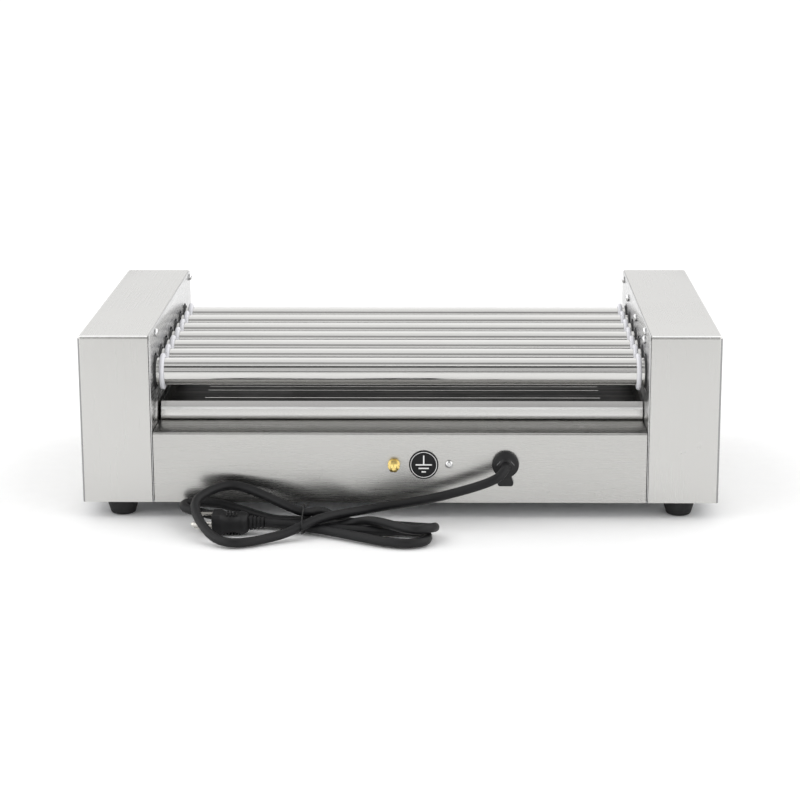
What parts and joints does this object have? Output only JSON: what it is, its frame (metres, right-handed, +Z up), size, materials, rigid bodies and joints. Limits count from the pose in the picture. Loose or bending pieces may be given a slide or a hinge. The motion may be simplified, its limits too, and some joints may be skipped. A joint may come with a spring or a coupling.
{
  "type": "hot dog roller grill",
  "caption": "Countertop roller grill: chain-driven heated rollers between two stainless end boxes, over a removable drip tray, with a mains cord at the back.",
  "frame": {"origin": "on the surface that the feet stand on, under the middle of the body", "axes": "+Z up; -Y towards the operator, so +Y is the back with the cord; +X is the operator's right, along the rollers"},
  "size_m": [0.58, 0.4377, 0.17],
  "materials": {
    "stainless_brushed": "brushed along the length",
    "stainless_plate": "satin, semi-bright",
    "tray_steel": "bright inside, satin outside",
    "roller_steel": "polished",
    "galvanised": "dull",
    "chain_steel": "oiled",
    "heater_steel": "heat-tinted",
    "ptfe_white": "satin",
    "bearing_black": "matte",
    "rubber_black": "matte",
    "plastic_black": "satin",
    "rocker_red": "gloss",
    "lamp_amber": "gloss, translucent",
    "brass": "bright",
    "badge_black": "satin print",
    "chrome_screw": "polished",
    "cord_black": "satin PVC"
  },
  "bodies": {
    "root": {"centre_housing": "stainless_brushed", "base_plate": "galvanised", "side_plate_left": "stainless_plate", "side_plate_right": "stainless_plate", "end_cover_left": "stainless_brushed", "end_cover_right": "stainless_brushed", "bearing_rail_left": "bearing_black", "bearing_rail_right": "bearing_black", "foot_front_left": "rubber_black", "foot_front_right": "rubber_black", "foot_rear_left": "rubber_black", "foot_rear_right": "rubber_black", "drive_chain": "chain_steel", "gear_motor": "galvanised", "heater_rack": "heater_steel", "switch_body": "plastic_black", "thermostat_front": "galvanised", "thermostat_rear": "galvanised", "lamp_front": "lamp_amber", "lamp_rear": "lamp_amber", "earth_terminal": "brass", "earth_badge": "badge_black", "panel_screw": "chrome_screw", "cord_gland": "rubber_black", "power_cord": "cord_black", "cord_tie": "plastic_black", "mains_plug": "cord_black"},
    "tray": {"drip_tray": "tray_steel"},
    "motor_shaft": {"motor_sprocket": "chain_steel"},
    "rocker": {"switch_rocker": "rocker_red"},
    "front_knob": {"knob_front": "plastic_black"},
    "rear_knob": {"knob_rear": "plastic_black"},
    "roller_1": {"roller_tube_1": "roller_steel", "seal_left_1": "ptfe_white", "seal_right_1": "ptfe_white", "sprocket_1": "chain_steel"},
    "roller_2": {"roller_tube_2": "roller_steel", "seal_left_2": "ptfe_white", "seal_right_2": "ptfe_white", "sprocket_2": "chain_steel"},
    "roller_3": {"roller_tube_3": "roller_steel", "seal_left_3": "ptfe_white", "seal_right_3": "ptfe_white", "sprocket_3": "chain_steel"},
    "roller_4": {"roller_tube_4": "roller_steel", "seal_left_4": "ptfe_white", "seal_right_4": "ptfe_white", "sprocket_4": "chain_steel"},
    "roller_5": {"roller_tube_5": "roller_steel", "seal_left_5": "ptfe_white", "seal_right_5": "ptfe_white", "sprocket_5": "chain_steel"},
    "roller_6": {"roller_tube_6": "roller_steel", "seal_left_6": "ptfe_white", "seal_right_6": "ptfe_white", "sprocket_6": "chain_steel"},
    "roller_7": {"roller_tube_7": "roller_steel", "seal_left_7": "ptfe_white", "seal_right_7": "ptfe_white", "sprocket_7": "chain_steel"}
  },
  "joints": [
    {"name": "tray_slide", "type": "slide", "parent": "root", "child": "tray", "axis": [0, -1, 0], "range_m": [0, 0.3]},
    {"name": "roller_1_spin", "type": "hinge", "parent": "root", "child": "roller_1", "pos_m": [0, -0.1083, 0.1285], "axis": [1, 0, 0], "continuous": true},
    {"name": "roller_2_spin", "type": "hinge", "parent": "root", "child": "roller_2", "pos_m": [0, -0.0695, 0.1285], "axis": [1, 0, 0], "continuous": true},
    {"name": "roller_3_spin", "type": "hinge", "parent": "root", "child": "roller_3", "pos_m": [0, -0.0307, 0.1285], "axis": [1, 0, 0], "continuous": true},
    {"name": "roller_4_spin", "type": "hinge", "parent": "root", "child": "roller_4", "pos_m": [0, 0.0081, 0.1285], "axis": [1, 0, 0], "continuous": true},
    {"name": "roller_5_spin", "type": "hinge", "parent": "root", "child": "roller_5", "pos_m": [0, 0.0469, 0.1285], "axis": [1, 0, 0], "continuous": true},
    {"name": "roller_6_spin", "type": "hinge", "parent": "root", "child": "roller_6", "pos_m": [0, 0.0857, 0.1285], "axis": [1, 0, 0], "continuous": true},
    {"name": "roller_7_spin", "type": "hinge", "parent": "root", "child": "roller_7", "pos_m": [0, 0.1245, 0.1285], "axis": [1, 0, 0], "continuous": true},
    {"name": "motor_spin", "type": "hinge", "parent": "root", "child": "motor_shaft", "pos_m": [-0.25, 0.0081, 0.047], "axis": [1, 0, 0], "continuous": true},
    {"name": "power_rocker", "type": "hinge", "parent": "root", "child": "rocker", "pos_m": [-0.15, -0.165, 0.048], "axis": [-1, 0, 0], "range_deg": [0, 18]},
    {"name": "front_thermostat_turn", "type": "hinge", "parent": "root", "child": "front_knob", "pos_m": [-0.01, -0.17, 0.048], "axis": [0, 1, 0], "range_deg": [0, 270]},
    {"name": "rear_thermostat_turn", "type": "hinge", "parent": "root", "child": "rear_knob", "pos_m": [0.11, -0.17, 0.048], "axis": [0, 1, 0], "range_deg": [0, 270]}
  ],
  "couplings": [
    {"joint": "roller_1_spin", "follows": "roller_4_spin", "ratio": 1},
    {"joint": "roller_2_spin", "follows": "roller_4_spin", "ratio": 1},
    {"joint": "roller_3_spin", "follows": "roller_4_spin", "ratio": 1},
    {"joint": "roller_5_spin", "follows": "roller_4_spin", "ratio": 1},
    {"joint": "roller_6_spin", "follows": "roller_4_spin", "ratio": 1},
    {"joint": "roller_7_spin", "follows": "roller_4_spin", "ratio": 1},
    {"joint": "motor_spin", "follows": "roller_4_spin", "ratio": 1.6}
  ]
}
